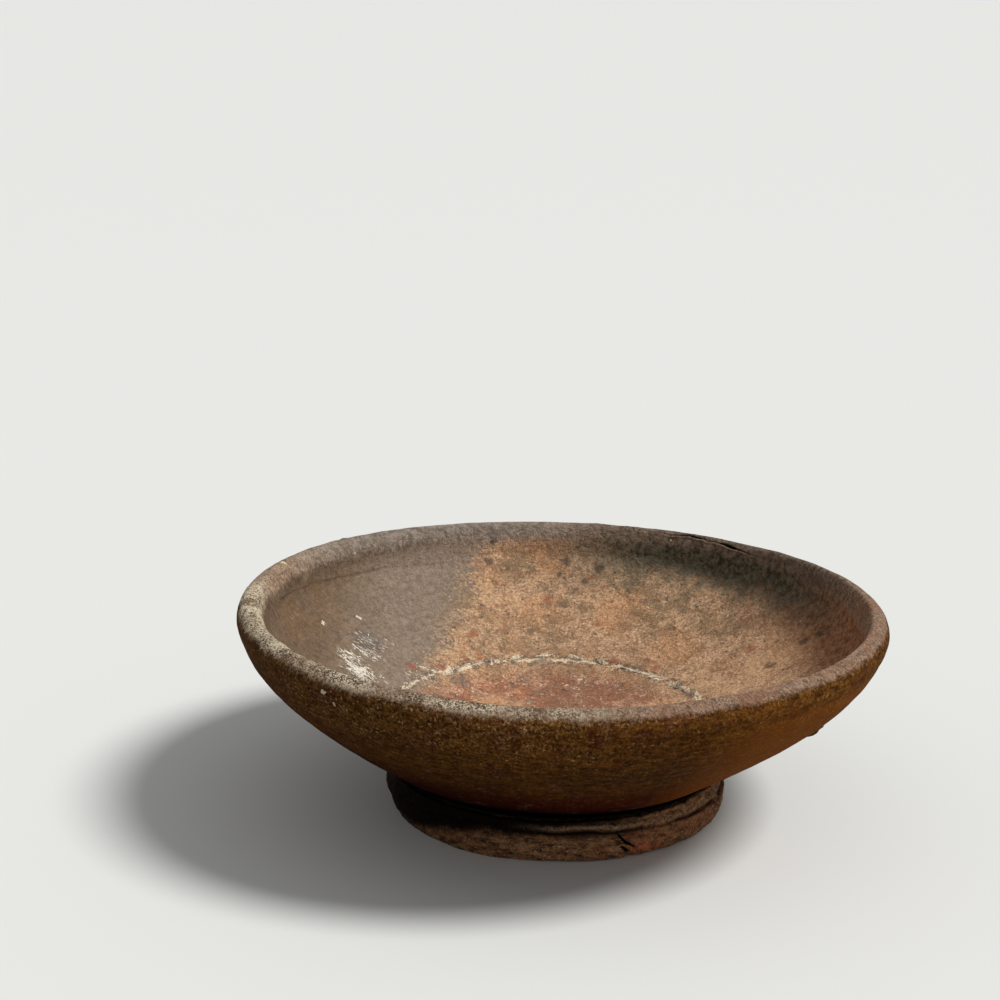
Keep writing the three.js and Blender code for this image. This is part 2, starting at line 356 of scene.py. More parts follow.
    def done(self, colour, roughness, height, shine=0.1):
        """Height is in millimetres."""
        self.feed(self.shader, "Base Color", colour)
        self.feed(self.shader, "Roughness", roughness)
        self.feed(self.shader, "Specular IOR Level", shine)
        relief = self.node("ShaderNodeBump")
        self.feed(relief, "Height", height)
        relief.inputs["Distance"].default_value = MM
        relief.inputs["Strength"].default_value = 1.0
        self.tree.links.new(relief.outputs[0], self.shader.inputs["Normal"])
        return self.material


# Places of single marks: angle, distance from the axis, height and reach.
IRON_SPOTS = [
    (104.8, 74.9, 48.0, 1.3), (106.1, 72.5, 42.4, 1.5), (105.9, 67.5, 37.9, 0.9), (88.4, 73.3, 42.2, 1.3),
    (89.6, 70.1, 39.2, 1.0), (80.5, 72.7, 41.1, 1.6), (83.6, 69.0, 38.0, 1.2), (110.6, 61.1, 33.6, 0.7),
    (18.4, 68.5, 36.7, 1.5), (16.2, 72.0, 39.5, 1.5), (18.1, 59.1, 30.9, 1.8), (4.7, 72.0, 39.6, 1.0),
]
SOFT_IRON_SPOTS = [
    (101.9, 71.1, 40.8, 1.2), (113.4, 65.2, 36.5, 1.4), (86.0, 65.5, 35.6, 1.6), (92.0, 63.9, 34.7, 1.9),
    (88.1, 61.9, 33.3, 1.6), (83.8, 61.3, 32.8, 1.8), (28.9, 69.2, 37.2, 1.6), (23.6, 44.6, 23.9, 1.6),
    (70.0, 63.0, 34.0, 1.5), (57.0, 57.0, 30.0, 1.8), (40.0, 64.0, 34.0, 1.4), (97.0, 52.5, 28.6, 1.9),
    (93.5, 50.5, 27.6, 1.3), (82.2, 47.7, 25.8, 0.7), (77.3, 50.3, 26.9, 1.0), (63.7, 48.6, 26.0, 1.4),
    (112.1, 49.8, 27.2, 1.9), (113.7, 65.1, 36.4, 0.9), (110.4, 61.1, 33.5, 0.6),
]
PALE_SPECKS = [
    (32.8, 77.1, 49.5, 0.5), (45.0, 66.5, 35.3, 0.5), (25.0, 72.0, 39.4, 0.5), (65.6, 76.9, 50.2, 0.6),
    (139.4, 74.3, 50.0, 0.7), (160.9, 65.8, 38.7, 0.8), (148.4, 63.5, 36.5, 1.0), (-130.1, 81.5, 49.4, 0.8),
    (-128.1, 80.8, 46.6, 0.6), (-98, 81.9, 46.5, 0.5), (-84, 79.2, 41.5, 0.5),
]
SMUDGES = [
    (133.1, 37.7, 21.4, 4.2), (105.6, 33.7, 20.0, 2.2), (93.0, 39.0, 22.0, 2.4), (100.1, 39.7, 22.3, 1.5),
    (153, 56.5, 32.5, 6.5), (95.5, 42.0, 23.0, 1.8), (82.1, 42.0, 23.0, 2.4), (57.0, 42.0, 23.2, 2.4),
    (27.5, 40.2, 22.8, 3.0),
]
# White grit that lies on the red floor.
FLOOR_FLECKS = [(80.9, 32.9, 19.8, 5.0), (106.0, 33.0, 19.9, 1.6), (133.0, 35.5, 20.6, 2.2), (50.0, 20.0, 18.6, 4.0)]
# Thin grey ash over the ochre.
VEILS = [
    (93.5, 51.7, 27.9, 7.0), (112.8, 48.8, 26.7, 5.0), (83.5, 61.0, 32.7, 4.5), (66.4, 57.4, 30.3, 6.0),
    (91.0, 63.6, 34.5, 5.5), (60.0, 67.4, 36.1, 9.0), (44.0, 61.0, 33.0, 7.0), (100.0, 71.0, 41.0, 6.0),
    (74.0, 70.0, 39.5, 5.0), (119.0, 62.0, 35.0, 9.0),
]
# Orange where the flame touched the ochre.
GLOWS = [
    (92.7, 74.7, 44.7, 8.0), (95.2, 57.9, 31.2, 7.0), (72.8, 60.0, 31.9, 8.0), (108.0, 70.0, 40.0, 6.0),
    (50, 52, 27, 8.0),
]
RED_SPOTS = [
    (116.8, 52.0, 28.4, 2.0), (92.3, 62.3, 33.7, 1.8), (67.8, 42.8, 23.6, 2.4), (51.9, 44.2, 24.1, 1.8),
    (147.2, 46.2, 25.7, 2.6), (78.0, 56.0, 29.8, 1.6), (30.0, 60.0, 31.5, 2.2), (136.0, 43.5, 24.0, 2.0),
]
# The chip on the rim: where it stands out, the stain round it and its white face.
CHIP = (162.2, 77.4, 54.0)
CHIP_STAIN = (162.2, 77.2, 54.3, 2.6)
CHIP_FACE = (161.6, 77.0, 54.3, 1.5)
# White ash scuffed down the wall on the left: one full patch and two faint ones.
FULL_SCUFF = (171, 51, 28.8, 7.2)
FAINT_SCUFFS = [(166, 56, 31.5, 5.5), (154, 55.5, 31.5, 7.5)]
# The red, burnt patch low on the foot's band.
BURNT_PATCH = [(-64.5, 42.2, 1.0, 2.6), (-60, 42.2, 1.8, 4.2), (-55, 42.6, 2.4, 2.6)]


class BowlClay(Finish):
    """The clay of the bowl itself, with the ash and the flashes of colour that the fire left on it."""

    def __init__(self):
        super().__init__("ash_flashed_clay")
        self.inside, self.rim, self.ash = self.mark("inside"), self.mark("rim"), self.mark("ash")
        # chance values from the finest to the widest, and two that follow the wheel
        self.dust, self.fine = self.spots(0.26, 1, seed=1), self.spots(0.7, 4, seed=2, harsh=0.7)
        self.coarse, self.blotch = self.spots(1.6, 5, seed=3, harsh=0.75), self.spots(3.2, 6, seed=7, harsh=0.78)
        self.wide, self.broad = self.spots(9, 5, seed=4, harsh=0.65), self.spots(28, 3, seed=5)
        self.turned, self.hand = self.drawn(0.7, 30, seed=1), self.drawn(2.4, 60, seed=2)
        self.wander = self.wide.sway(24) + self.blotch.sway(18)
        self.clouds = self.broad * 0.6 + self.wide * 0.4 + self.blotch.sway(0.3)
        self.grain, self.grain_chance = self.grains(1.5, seed=14)
        # the border between the grey and the ochre leans with the height and bends away on the near side
        border = self.x + (43 - self.z) * 0.55 + self.wander * 0.7 + self.coarse.sway(28) + self.fine.sway(16)
        border = border - self.y.fall(-75, -8) * 30 + (self.broad - 0.5) * self.y.fall(-30, 10) * 60
        self.ochre_side = border.rise(-28, -18)
        self.streaks = self.spots(0.4, 3, stretch=(9, 1.2, 1.8), seed=9, harsh=0.7)
        self.scuff = self.near(*FULL_SCUFF)
        for faint in FAINT_SCUFFS:
            self.scuff = self.scuff.most(self.near(*faint) * 0.5)
        self.crumbs = self.spots(0.42, 4, seed=12, harsh=0.7)
        self.pale = self.places(PALE_SPECKS)

    def grey_wall(self):
        mottle = (self.coarse * 0.6 + self.fine * 0.2 + self.turned * 0.2).rise(0.36, 0.64)
        paler_side = (self.x + self.wander * 0.6).rise(-66, -44)
        return self.coats(
            self.paint(mottle, "624f3e", "86705c"),
            (self.wide.rise(0.46, 0.6) * 0.4, "7d6140"),
            (paler_side * 0.85, self.paint(mottle, "837262", "a69482")),
            (self.fine.rise(0.58, 0.68) * 0.35, "5a483c"),
            ((1 - self.fine).rise(0.6, 0.7) * 0.25, "b5a490"),
        )

    def ochre_wall(self):
        fine, coarse, blotch, wide = self.fine, self.coarse, self.blotch, self.wide
        strewn = (wide + blotch.sway(0.6)).rise(0.42, 0.6)
        pale_grains = self.grain.fall(0.14, 0.3) * self.grain_chance.rise(0.56, 0.6)
        dark_grains = self.grain.fall(0.16, 0.34) * self.grain_chance.fall(0.4, 0.44)
        return self.coats(
            self.paint((fine * 0.5 + coarse * 0.5).rise(0.38, 0.6), "92735b", "deb58e"),
            (wide.rise(0.47, 0.62) * 0.4, "c18c60"),
            (self.places(GLOWS, 1.3) * coarse.rise(0.36, 0.56) * 0.35, "cb854e"),
            (blotch.rise(0.5, 0.62) * 0.5, "88735d"),
            ((blotch - coarse + 0.5).rise(0.57, 0.7) * 0.7, "c97c48"),
            (coarse.rise(0.55, 0.66) * 0.5, "6a5846"),
            (self.places(VEILS, 1.5) * (blotch + wide).rise(0.86, 1.12) * 0.5, "71664f"),
            ((fine + coarse.sway(0.4)).rise(0.61, 0.7) * 0.5, "edd2ac"),
            (pale_grains * strewn * 0.6, "f0dcb8"),
            (dark_grains * strewn * 0.65, "493f35"),
            (self.clouds.rise(0.5, 0.62) * 0.35, "816851"),
            (self.clouds.fall(0.38, 0.5) * 0.4, "e2b68a"),
        )

    def inner_wall(self):
        """Grey brown to the left, ochre behind, russet at the right, soot under the rim at the back right."""
        russet = self.paint(self.coarse.rise(0.32, 0.68), "734a35", "bb855e")
        at_right = self.side(2, 26, 44) * (self.z + self.wander * 0.35).rise(28, 40)
        soot = self.paint(self.coarse.rise(0.35, 0.65), "36352a", "777260")
        sooty = self.side(54, 26, 46) * (self.z + self.wander * 0.4 + self.coarse.sway(14)).rise(34, 45)
        under_lip = (self.z + self.wander * 0.2).rise(45.5, 50.5)
        mottle = self.coarse.rise(0.34, 0.66)
        lip_clay = self.paint(
            (self.x + self.wander * 0.5).rise(-46, -16),
            self.paint(mottle, "594838", "786552"),
            self.paint(mottle, "7e6a5a", "b4a08d"),
        )
        return self.coats(
            self.paint(self.ochre_side, self.grey_wall(), self.ochre_wall()),
            (at_right * 0.9, russet),
            (sooty, soot),
            (under_lip * (1 - sooty), lip_clay),
        )

    def red_floor(self):
        fine, coarse, blotch = self.fine, self.coarse, self.blotch
        return self.coats(
            self.paint((fine * 0.4 + coarse * 0.6).rise(0.38, 0.6), "925b42", "deae8c"),
            (self.wide.rise(0.44, 0.56) * 0.6, "a65e40"),
            ((blotch - coarse + 0.5).rise(0.54, 0.68) * 0.7, "cb9a72"),
            (blotch.rise(0.5, 0.6) * 0.7, "85705f"),
            (coarse.rise(0.55, 0.64) * 0.8, "5f4338"),
            ((fine + coarse.sway(0.4)).rise(0.6, 0.68) * 0.55, "f2dcc4"),
            (self.clouds.rise(0.48, 0.6) * 0.55, "7d5846"),
            (self.clouds.fall(0.4, 0.5) * 0.5, "d2a174"),
            (self.grain.fall(0.14, 0.3) * self.grain_chance.rise(0.56, 0.6) * 0.5, "f6e6cc"),
        )

    def scar_coats(self):
        """The red floor inside the scar, its white and red specks, and the scar itself, a pale line in a dark one."""
        from_middle = self.away_from(SCAR_MIDDLE)
        reddened = (from_middle + self.wander * 0.3).fall(SCAR_RADIUS - 9, SCAR_RADIUS - 1)
        flecks = self.places(FLOOR_FLECKS) * self.grain.fall(0.2, 0.42) * self.grain_chance.rise(0.4, 0.46)
        off_line = (from_middle - SCAR_RADIUS + self.wide.sway(1.6)).unsigned()
        line = off_line.fall(0.1, 0.7) * (self.coarse + self.wide.sway(0.7)).rise(0.44, 0.52)
        return [
            (reddened * 0.9, self.red_floor()),
            (flecks * 0.7, "f4e3cb"),
            (self.places(RED_SPOTS) * self.fine.rise(0.4, 0.6) * 0.75, "a84a32"),
            (off_line.fall(0.6, 2.2) * self.blotch.rise(0.47, 0.55) * 0.7, "5d5249"),
            (line * 0.9, "f3e2c2"),
        ]

    def scuff_coats(self):
        """The ash scuffed down the slope on the left, white in streaks over a dark stain."""
        white = (self.scuff * 0.2 + self.streaks + self.coarse.sway(0.7) + self.wide.sway(0.9)).rise(0.69, 0.74)
        return [
            (self.scuff * (1 - self.streaks).rise(0.5, 0.62) * 0.5, "564b45"),
            (self.scuff.rise(0.0, 0.3) * white, "f1e9d8"),
        ]

    def outer_wall(self):
        """Dark brown, drawn round by the wheel, redder low down, with golden specks of ash, painted warm light low at
        the right, painted light high at the front right and painted shade low at the left and by the foot.
        """
        fine, coarse = self.fine, self.coarse
        layers = self.spots(1.1, 5, stretch=(3, 3, 1), seed=15, harsh=0.7)
        level = self.z + self.spots(7, 3, stretch=(3, 3, 1), seed=16).sway(12)
        olive = self.side(-112, 24, 36) * level.rise(34, 48)
        gold_grains = self.grain.fall(0.14, 0.28) * self.grain_chance.rise(0.57, 0.6)
        clay = self.coats(
            self.paint((layers * 0.5 + fine * 0.3 + coarse * 0.2).rise(0.38, 0.62), "321a05", "70481a"),
            (self.hand.rise(0.5, 0.66) * 0.3, "2a1404"),
            (self.wide.rise(0.48, 0.6) * 0.45, "45180a"),
            ((1 - fine + coarse.sway(0.5)).rise(0.6, 0.7) * 0.5, "1a0c03"),
            (olive * (fine + self.blotch.sway(0.5)).rise(0.46, 0.62) * 0.55, "84633b"),
            (level.fall(15, 33) * 0.95, "470a00"),
        )
        # painted shade low on the left side
        clay = self.lighten(clay, 1 - self.side(-135, 28, 40) * level.fall(18, 36) * 0.4)
        clay = self.coats(
            clay,
            # painted warm reflected light low at the front right
            (self.side(-36, 18, 30) * level.fall(36, 52) * 0.75, "945514"),
            ((fine * 0.7 + coarse * 0.3).rise(0.59, 0.64) * (0.3 + olive * 0.5), "c2a274"),
            (gold_grains * (0.15 + olive * 0.35), "c0a678"),
        )
        # painted light high on the front right
        clay = self.lighten(clay, 1 + self.side(-58, 42, 40) * level.rise(34, 46) * 0.35)
        # painted shadow: near black on the underside by the foot, less at the right
        shade_by_the_foot = self.z.fall(13.0, 17.5) * (0.9 - self.side(-25, 30, 40) * 0.45)
        return self.paint(shade_by_the_foot, clay, "0c0502")

    def rim_coats(self):
        """Grey brown, paler at the back, with a painted highlight along the left, reddish at the front right, and ash
        at the near left with painted shade in its pits.
        """
        fine, coarse, blotch, wide = self.fine, self.coarse, self.blotch, self.wide
        edge = self.coats(
            self.paint((coarse * 0.5 + fine * 0.5).rise(0.38, 0.62), "745d4a", "bb9d84"),
            (self.side(118, 30, 40), self.paint(coarse.rise(0.36, 0.64), "7b6d60", "a99a8b")),
            # painted highlight along the left of the rim
            (self.side(-168, 14, 24) * (self.hand + fine.sway(0.5)).rise(0.4, 0.6) * 0.8, "d2bfa2"),
            (self.side(-35, 40, 30) * wide.rise(0.4, 0.6) * 0.5, "9c6a4f"),
            (self.side(50, 30, 30) * 0.8, self.paint(coarse.rise(0.35, 0.65), "514638", "87776a")),
        )
        crusted = (self.crumbs + blotch.sway(0.7) + wide.sway(1.3)).rise(0.46, 0.6)
        # painted shade in the pits of the ash, where its relief is lowest
        pit_shade = (1 - self.crumbs + coarse.sway(0.9)).rise(0.52, 0.6)
        return [
            ((self.rim + fine.sway(0.6) + blotch.sway(1.2) + wide.sway(1.2)).rise(0.08, 0.85), edge),
            (self.ash * crusted, "fdebca"),
            (self.ash * pit_shade * 0.9, "33220f"),
        ]

    def mark_coats(self):
        """Single marks: the crease with painted shade under its step, iron spots, smudges, pale specks, the chip, and
        the split with painted shade in it and a painted highlight on its torn lip.
        """
        iron = self.places(IRON_SPOTS, 1.3)
        iron = iron.most(self.places(SOFT_IRON_SPOTS, 1.4) * self.coarse.rise(0.42, 0.58) * 0.6)
        away, chance = self.grains(2.6, seed=10)
        on_ochre = self.ochre_side * self.inside * (1 - self.rim)
        iron = iron.most(away.fall(0.12, 0.3) * chance.rise(0.5, 0.62) * on_ochre * 0.9)
        return [
            # painted shade under the crease's step
            (self.mark("crease") * 0.25, "3a2c22"),
            (iron * (self.fine + self.coarse.sway(0.6)).rise(0.32, 0.54) * 0.8, "3c3a36"),
            (self.places(SMUDGES) * self.coarse.rise(0.4, 0.55) * 0.7, "5f5b58"),
            (self.pale, "e3d6bd"),
            (self.near(*CHIP_STAIN) * 0.5, "a58a5c"),
            (self.near(*CHIP_FACE), "ecdfbd"),
            # painted highlight on the raised torn lip under the split
            (self.mark("torn") * 0.4, "846553"),
            # painted shade inside the split
            (self.mark("split").rise(0.2, 0.6), "0b0806"),
        ]


def bowl_clay():
    f = BowlClay()
    within = f.coats(f.inner_wall(), *f.scar_coats(), *f.scuff_coats())
    clay = f.coats(f.paint(f.inside, f.outer_wall(), within), *f.rim_coats(), *f.mark_coats())
    clay = f.lighten(clay, 1 + f.dust.sway(0.9) + f.fine.sway(0.8))
    rougher = 1 + (1 - f.inside) * 0.5 + f.rim * 0.6
    height = (
        (f.dust.sway(0.08) + f.fine.sway(0.36) + f.coarse.sway(0.6)) * rougher + (f.turned - 0.5) * (1 - f.rim) * 0.2
        + f.pale * 0.12 + f.ash * (f.crumbs - 0.5) * 0.8 + f.scuff * (f.streaks - 0.5) * 0.5
    )
    gloss = 0.76 + f.coarse.sway(0.2) - f.inside * (1 - f.ochre_side) * 0.2 + f.ash * 0.1
    return f.done(clay, gloss, height, shine=0.05)


def foot_clay():
    """Burnt brown, with a red patch, painted light on the front right, painted shadow black in the neck and at the
    left, and a painted highlight on the pale lip of the band.
    """
    f = Finish("burnt_foot_clay")
    dust, fine = f.spots(0.28, 1, seed=31), f.spots(0.55, 4, seed=32, harsh=0.75)
    coarse, wide = f.spots(1.8, 5, seed=33, harsh=0.75), f.spots(9, 3, seed=34)
    strokes, drawn = f.spots(1.4, 5, stretch=(2.4, 2.4, 1), seed=35, harsh=0.78), f.drawn(0.8, 16, seed=3)
    clay = f.coats(
        f.paint((strokes * 0.8 + drawn * 0.2).rise(0.38, 0.6), "432b1a", "b78860"),
        (coarse.rise(0.48, 0.64) * 0.5, "8b6543"),
        (wide.rise(0.5, 0.62) * 0.4, "96593a"),
        ((fine + coarse.sway(0.6)).rise(0.6, 0.69) * 0.7, "e6c9a2"),
        ((1 - fine + coarse.sway(0.5)).rise(0.57, 0.66) * 0.7, "2c1c0e"),
    )
    # painted light on the front right of the foot
    clay = f.lighten(clay, 1 + f.side(-66, 40, 30) * 0.4)
    red = f.paint(coarse.rise(0.42, 0.58), "8a442c", "ec8c62")
    clay = f.paint(f.places(BURNT_PATCH) * (fine + coarse.sway(0.6)).rise(0.38, 0.5) * 0.9, clay, red)

    # painted shadow: black in the neck where the bowl overhangs it, most at the front left and little at the right,
    # also just under the bowl and down the left side
    shade = (f.mark("neck") + coarse.sway(0.8) + strokes.sway(0.6) + fine.sway(1.2)).rise(0.15, 0.9)
    at_right = f.side(-25, 30, 40)
    painted_shadow = shade * (0.6 + 0.38 * f.side(-120, 50, 50)) * (1 - 0.85 * at_right)
    painted_shadow = painted_shadow.most(f.z.rise(9.3, 11.2) * (0.93 - at_right * 0.5)).most(f.side(-168, 22, 34) * 0.75)
    clay = f.coats(
        f.lighten(clay, 1 - painted_shadow),
        # painted highlight along the lip over the band's groove
        (f.mark("lip") * (fine + coarse.sway(0.8)).rise(0.42, 0.56) * 0.8, "c8ab8a"),
        # painted shade in the tears and in the groove under the lip
        (f.mark("split").rise(0.2, 0.7), "070504"),
    )
    clay = f.lighten(clay, 1 + dust.sway(1.2) + fine.sway(1.2))
    height = dust.sway(0.16) + fine.sway(0.8) + coarse.sway(1.2) + strokes.sway(0.6)
    return f.done(clay, 0.88 + coarse.sway(0.15), height)


def slip_clay():
    # near black: painted shadow in the gap between the bowl and the foot
    f = Finish("slip_in_painted_shadow")
    coarse = f.spots(1.2, 4, seed=41)
    return f.done(f.paint(coarse.rise(0.4, 0.6), "070403", "120c08"), 0.9 + coarse.sway(0.1), coarse.sway(0.4))


def scar_grit():
    f = Finish("white_and_dark_grit")
    fine, coarse = f.spots(0.5, 2, seed=51), f.spots(3.0, 3, seed=52)
    grit = f.coats(
        f.paint(fine.rise(0.4, 0.6), "dfccac", "fff5df"),
        ((coarse + fine.sway(0.6)).rise(0.51, 0.58) * 0.9, "766c64"),
        (fine.rise(0.6, 0.66) * 0.7, "8a6242"),
    )
    return f.done(grit, 0.75 + fine.sway(0.2), fine.sway(0.3))


def white_flecks():
    f = Finish("white_flecks")
    coarse = f.spots(1.0, 2, seed=55)
    return f.done(f.paint(coarse.rise(0.4, 0.6), "b9a78b", "fdf3dc"), 0.7 + coarse.sway(0.2), coarse.sway(0.1))


def kiln_grit():
    f = Finish("brown_kiln_grit")
    coarse = f.spots(0.9, 3, seed=61)
    return f.done(f.paint(coarse.rise(0.4, 0.6), "2a1806", "6b4518"), 0.7 + coarse.sway(0.3), coarse.sway(0.4))


# The bowl

# The split under the rim: angle, height of its line and depth there, in the order in which it runs.
SPLIT = [
    (86, 53.0, 0.0), (82, 52.8, 0.3), (80, 52.6, 0.05), (70, 51.8, 0.08), (66, 51.6, 0.2), (62, 52.1, 0.4),
    (60, 52.0, 0.6), (57, 51.7, 0.2), (54.5, 51.6, 0.25), (53, 51.5, 1.1), (51, 51.2, 1.2), (49.5, 50.9, 0.6),
    (47.5, 50.6, 0.3), (44, 50.2, 0.12), (41, 50.0, 0.0),
]
# The crease that the turned-over rim left inside: angle and height.
CREASE = [(176, 47.9), (167, 47.5), (155, 46.3), (143, 45.1), (133, 44.5), (125, 43.8), (117, 43.4), (106, 43.0)]
# Blisters and bumps: angle, distance from the axis, height and reach.
BLISTERS = [
    (-86.2, 81.9, 49.0, 0.9), (-70.0, 77.7, 39.2, 0.8), (-80.1, 75.6, 36.8, 0.7), (-69.2, 80.9, 52.4, 0.6),
    (-118, 79.5, 42.0, 0.8), (-52, 78.8, 43.0, 0.9), (-140, 76.0, 38.0, 0.7), (40, 78, 40, 0.9), (120, 77, 38, 0.8),
    (142.5, 79.5, 54.0, 1.1), (139.5, 80.0, 53.6, 0.8),
]
BLISTER_HEIGHT = 0.4
DENT = (-68, 50.7)  # the shallow dent under the near rim: angle and height
# Where the scuffed ash is thick enough to feel: angle, distance from the axis and height.
THICK_SCUFF, THIN_SCUFF = (171.4, 53, 29.8), (157, 57, 32.5)
# Where small marks need a finer form: the middle and half width in angle, the heights, the distances from the axis
# and the number of cuts.
FINER = [
    (64.5, 23.5, (48.5, 60), (74, 80), 3),  # the split
    (141, 37, (42.5, 49), (69, 75.5), 2),  # the crease
    (-130, 56, (47, 60), (74.5, 90), 1),  # the ash on the rim
    (168, 16, (24, 60), (46, 61), 1),  # the scuffs
]


def on_line(line, angle):
    """The values of a line at an angle, or None beyond its ends."""
    for before, after in zip(line, line[1:]):
        if min(before[0], after[0]) <= angle <= max(before[0], after[0]):
            share = (angle - before[0]) / (after[0] - before[0])
            return [a + (b - a) * share for a, b in zip(before[1:], after[1:])]
    return None


def on_rim(p, radius, outward):
    """1 on the roll of the rim, 0 on the walls under it."""
    return smooth(CREST - 7, CREST - 2.5, p.z) * smooth(72.5, 75.5, radius) * smooth(1.02, 0.66, outward)


def on_inside(n, radius, outward):
    """1 where the clay faces into the bowl, 0 where it faces out or down."""
    if radius < 79:
        return smooth(0.25, -0.1, outward) * smooth(-0.35, 0.1, n.z)
    return smooth(0.4, 0.05, outward)


def wheel_marks(p, angle, radius, inside):
    """Rings and lumps from throwing. All is sunk a little, so that nothing stands out of the CAD solid."""
    sunk, ring_pitch, fine_pitch, floor_pitch = 0.3, 4.1, 2.3, 8.5
    out = 0.24 * uneven(p, 24, 1) + 0.12 * uneven(p, 7, 2) + 0.05 * uneven(p, 2.4, 3) - sunk
    turns = p.z + 1.2 * angle / 360 + 0.6 * uneven(p, 30, 4)
    strength = max(0.0, 0.45 + 0.9 * uneven(p, 16, 5))
    rings = 0.05 * math.sin(math.tau * turns / ring_pitch) + 0.03 * math.sin(math.tau * turns / fine_pitch)
    out += (1 - inside) * smooth(12, 16, p.z) * strength * rings
    wave = math.sin(math.tau * (radius + 1.5 * uneven(p, 30, 6)) / floor_pitch)
    return out + inside * 0.07 * wave * (0.5 + uneven(p, 22, 7))


def rim_crease(p, angle):
    """The step that the turned-over rim left: how far it stands out, and the line of painted shade under it."""
    line = on_line(CREASE, angle)
    if not line:
        return 0.0, 0.0
    fade = smooth(176, 168, angle) * smooth(106, 124, angle)
    above = p.z - line[0] - 0.25 * uneven(p, 4, 8)
    out = 0.18 * smooth(0, 0.6, above) * smooth(6, 1, above) - 0.06 * hump(above, -0.1, 0.6)
    return fade * out, fade * hump(above, -0.05, 0.45) * smooth(-0.3, 0.4, uneven(p, 3, 26))


def rim_split(p, angle):
    """The open split with its torn lower lip: how far they go in or out, and the two marks, for painted shade in the
    split and a painted highlight on the lip.
    """
    line = on_line(SPLIT, angle)
    if not line:
        return 0.0, 0.0, 0.0
    middle, deep = line
    away = p.z - middle + 0.3 * uneven(p, 2.2, 9) + 0.15 * uneven(p, 0.8, 10)
    gape = 0.16 + 0.3 * deep
    lip = -gape - 0.25
    out = 0.22 * min(1, 2 * deep) * hump(away, lip, 0.45) - deep * hump(away, 0, gape)
    return out, min(1.0, 1.6 * deep) * hump(away, 0, gape), min(1.0, 2 * deep + 0.15) * hump(away, lip, 0.4)


def ash_share(p, angle, rim):
    """1 where ash lies thick on the rim: all of the near left, and less on the left."""
    share = 0.95 * arc(angle, -132, 27, 36) + 0.5 * arc(angle, -167, 7, 12) + 0.2 * arc(angle, 175, 18, 26)
    return min(1.0, rim * share) * smooth(-0.9, 0.1, uneven(p, 9, 11)) * smooth(49.5, 53, p.z)


def scuffed_ash(p):
    share = max(smooth(9, 3, gap_to(p, *THICK_SCUFF)), 0.6 * smooth(8, 3, gap_to(p, *THIN_SCUFF)))
    return share * (0.2 * abs(grainy(p, 1.4, 15)) + 0.1 * uneven(p, 0.8, 16))


def small_bumps(p, angle, inside):
    """The blisters, the dent under the near rim and the chip on it."""
    out = 0.0
    for *middle, reach in BLISTERS:
        gap = gap_to(p, *middle)
        if gap < 2 * reach:
            out += BLISTER_HEIGHT * smooth(1.5 * reach, 0, gap)
    if inside < 0.6:
        out -= 0.25 * arc(angle, DENT[0], 12, 10) * hump(p.z, DENT[1] + 0.4 * uneven(p, 8, 18), 0.9)
    return out + 0.35 * smooth(2.2, 0.6, gap_to(p, *CHIP)) * (1 + 0.5 * uneven(p, 0.9, 19))


def bowl_depth(p, n):
    angle, radius = angle_of(p), across(p)
    outward = (n.x * p.x + n.y * p.y) / max(radius, 1e-6)  # 1 where the clay faces straight away from the axis
    rim, inside = on_rim(p, radius, outward), on_inside(n, radius, outward)
    ash = ash_share(p, angle, rim)
    found = {"inside": inside, "rim": rim, "ash": ash}
    out = wheel_marks(p, angle, radius, inside)
    if inside > 0.3 and radius > 66:
        step, found["crease"] = rim_crease(p, angle)
        out += step
    if 73 < radius < 81 and n.z > -0.2 and p.z > 47:
        opened, found["split"], found["torn"] = rim_split(p, angle)
        out += opened
    out += ash * (0.14 * grainy(p, 1.3, 12) + 0.08 * uneven(p, 0.7, 13)) + rim * 0.06 * grainy(p, 2.2, 14)
    out += inside * scuffed_ash(p)
    if inside > 0.5:
        ring = hump(math.hypot(p.x - SCAR_MIDDLE.x, p.y - SCAR_MIDDLE.y), SCAR_RADIUS, 2.6)
        out += ring * 0.15 * (grainy(p, 1.6, 17) + 0.3)
    return out + small_bumps(p, angle, inside), found


def throw_bowl():
    form = clay_from("bowl_body", 2)
    for angle, half, heights, distances, cuts in FINER:
        refine(
            form,
            lambda p: apart(angle_of(p), angle) < half
            and heights[0] < p.z < heights[1]
            and distances[0] < across(p) < distances[1],
            cuts,
        )
    press(form, bowl_depth, ["inside", "rim", "split", "torn", "crease", "ash"])
    return form


# The foot

# The tears in the foot's band: the angle, the height and the width of both ends of each straight length.
FOOT_TEARS = [
    ((-69.3, 7.6, 0.4), (-67.9, 6.5, 0.8)), ((-67.9, 6.5, 0.8), (-66.9, 5.1, 0.6)),
    ((-66.9, 5.1, 0.6), (-65.0, 4.2, 0.9)), ((-65.0, 4.2, 0.9), (-62.4, 2.9, 0.5)),
    ((-67.0, 3.4, 0.5), (-64.6, 1.8, 0.7)),
]
TEARS_MIDDLE, TEARS_HALF = -67, 10  # the angles between which they lie
TEAR_DEPTH = 0.8
SWELL = 1.3  # how far the band is fuller at the front left


def tear(p, angle, start, end):
    """1 in the middle of a tear that runs between two places on the foot, 0 beside it."""
    a, b = Vector((start[0] * FOOT_DEGREE, start[1])), Vector((end[0] * FOOT_DEGREE, end[1]))
    here = Vector((angle * FOOT_DEGREE + 0.35 * uneven(p, 1.4, 5), p.z + 0.35 * uneven(p, 1.4, 6)))
    share = min(1.0, max(0.0, (here - a).dot(b - a) / (b - a).length_squared))
    return smooth(start[2] + (end[2] - start[2]) * share, 0, (here - a - (b - a) * share).length)


